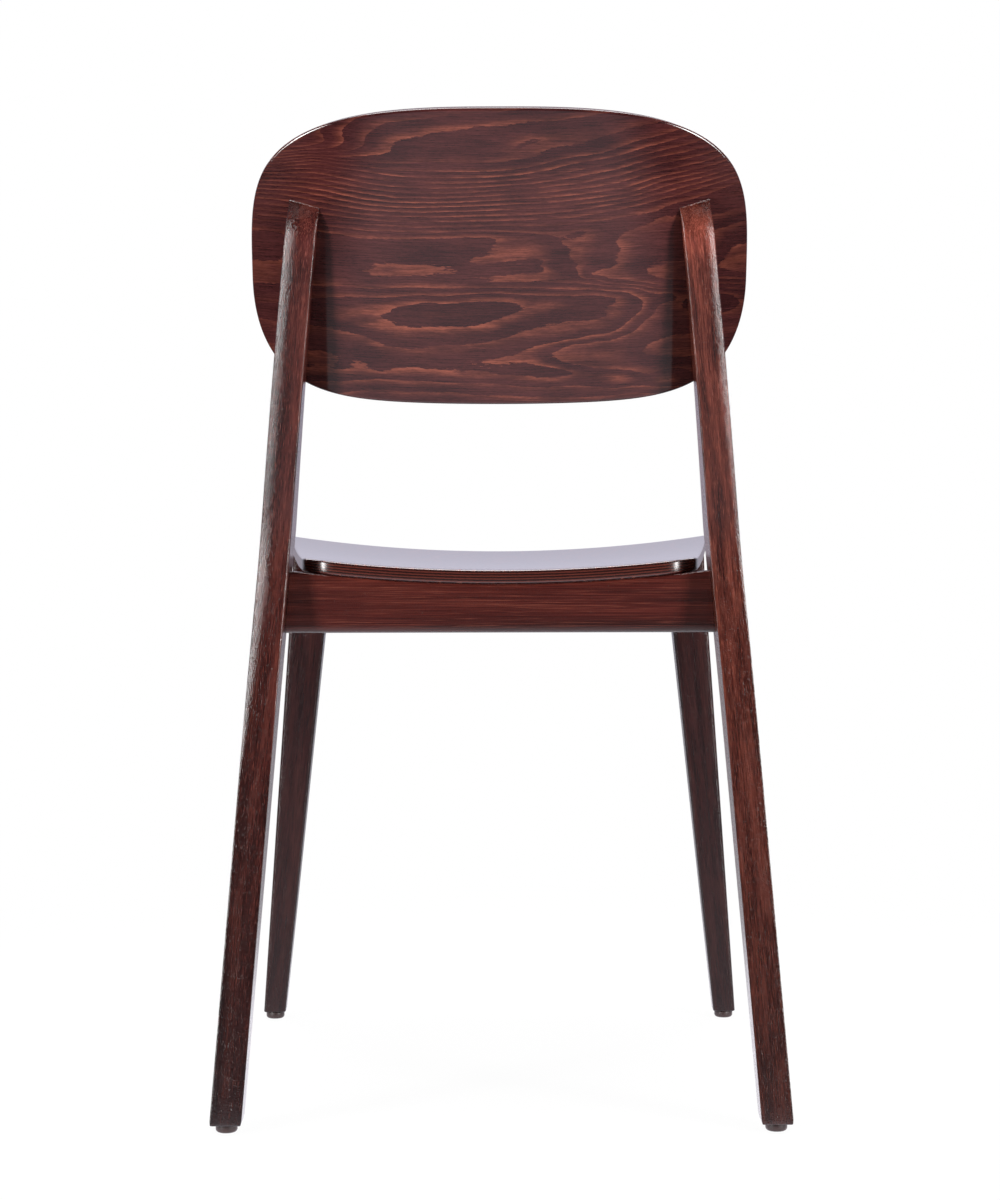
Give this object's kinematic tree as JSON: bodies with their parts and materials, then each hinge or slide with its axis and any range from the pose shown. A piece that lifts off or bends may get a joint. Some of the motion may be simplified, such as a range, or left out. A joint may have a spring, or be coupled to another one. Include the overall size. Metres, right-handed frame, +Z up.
{
  "type": "wooden side chair",
  "caption": "Side chair with a solid wood frame, splayed tapered legs, a dished plywood seat and a bent oval plywood backrest fixed in front of two rear posts.",
  "frame": {"origin": "on the floor, under the centre of the chair's box", "axes": "+Z is up and the chair faces -Y, with the sitter's left on +X"},
  "size_m": [0.4648, 0.5054, 0.8166],
  "materials": {
    "frame_wood": "dark red-brown stain under gloss lacquer, fine straight grain",
    "veneer": "figured plywood face veneer, dark red-brown stain under gloss lacquer",
    "block_wood": "sawn hardwood, thin stain, matt",
    "dowel_wood": "bare beech",
    "screw_steel": "zinc plated",
    "glide_plastic": "dark moulded nylon"
  },
  "bodies": {
    "root": {"seat_panel": "veneer", "back_panel": "veneer", "rear_leg_left": "frame_wood", "rear_leg_right": "frame_wood", "front_leg_left": "frame_wood", "front_leg_right": "frame_wood", "rear_rail": "frame_wood", "front_rail": "frame_wood", "side_rail_left": "frame_wood", "side_rail_right": "frame_wood", "corner_block_rear_left": "block_wood", "corner_block_rear_right": "block_wood", "corner_block_front_left": "block_wood", "corner_block_front_right": "block_wood", "rear_rail_dowel_left_1": "dowel_wood", "rear_rail_dowel_left_2": "dowel_wood", "rear_rail_dowel_right_1": "dowel_wood", "rear_rail_dowel_right_2": "dowel_wood", "front_rail_dowel_left_1": "dowel_wood", "front_rail_dowel_left_2": "dowel_wood", "front_rail_dowel_right_1": "dowel_wood", "front_rail_dowel_right_2": "dowel_wood", "side_rail_dowel_rear_left_1": "dowel_wood", "side_rail_dowel_rear_left_2": "dowel_wood", "side_rail_dowel_rear_right_1": "dowel_wood", "side_rail_dowel_rear_right_2": "dowel_wood", "side_rail_dowel_front_left_1": "dowel_wood", "side_rail_dowel_front_left_2": "dowel_wood", "side_rail_dowel_front_right_1": "dowel_wood", "side_rail_dowel_front_right_2": "dowel_wood", "back_dowel_left_1": "dowel_wood", "back_dowel_left_2": "dowel_wood", "back_dowel_right_1": "dowel_wood", "back_dowel_right_2": "dowel_wood", "block_screw_rear_left_cross": "screw_steel", "block_screw_rear_left_side": "screw_steel", "block_screw_rear_right_cross": "screw_steel", "block_screw_rear_right_side": "screw_steel", "block_screw_front_left_cross": "screw_steel", "block_screw_front_left_side": "screw_steel", "block_screw_front_right_cross": "screw_steel", "block_screw_front_right_side": "screw_steel", "seat_screw_rear_left": "screw_steel", "seat_screw_rear_right": "screw_steel", "seat_screw_front_left": "screw_steel", "seat_screw_front_right": "screw_steel", "glide_rear_left": "glide_plastic", "glide_rear_right": "glide_plastic", "glide_front_left": "glide_plastic", "glide_front_right": "glide_plastic", "glide_nail_rear_left": "screw_steel", "glide_nail_rear_right": "screw_steel", "glide_nail_front_left": "screw_steel", "glide_nail_front_right": "screw_steel"}
  },
  "joints": []
}
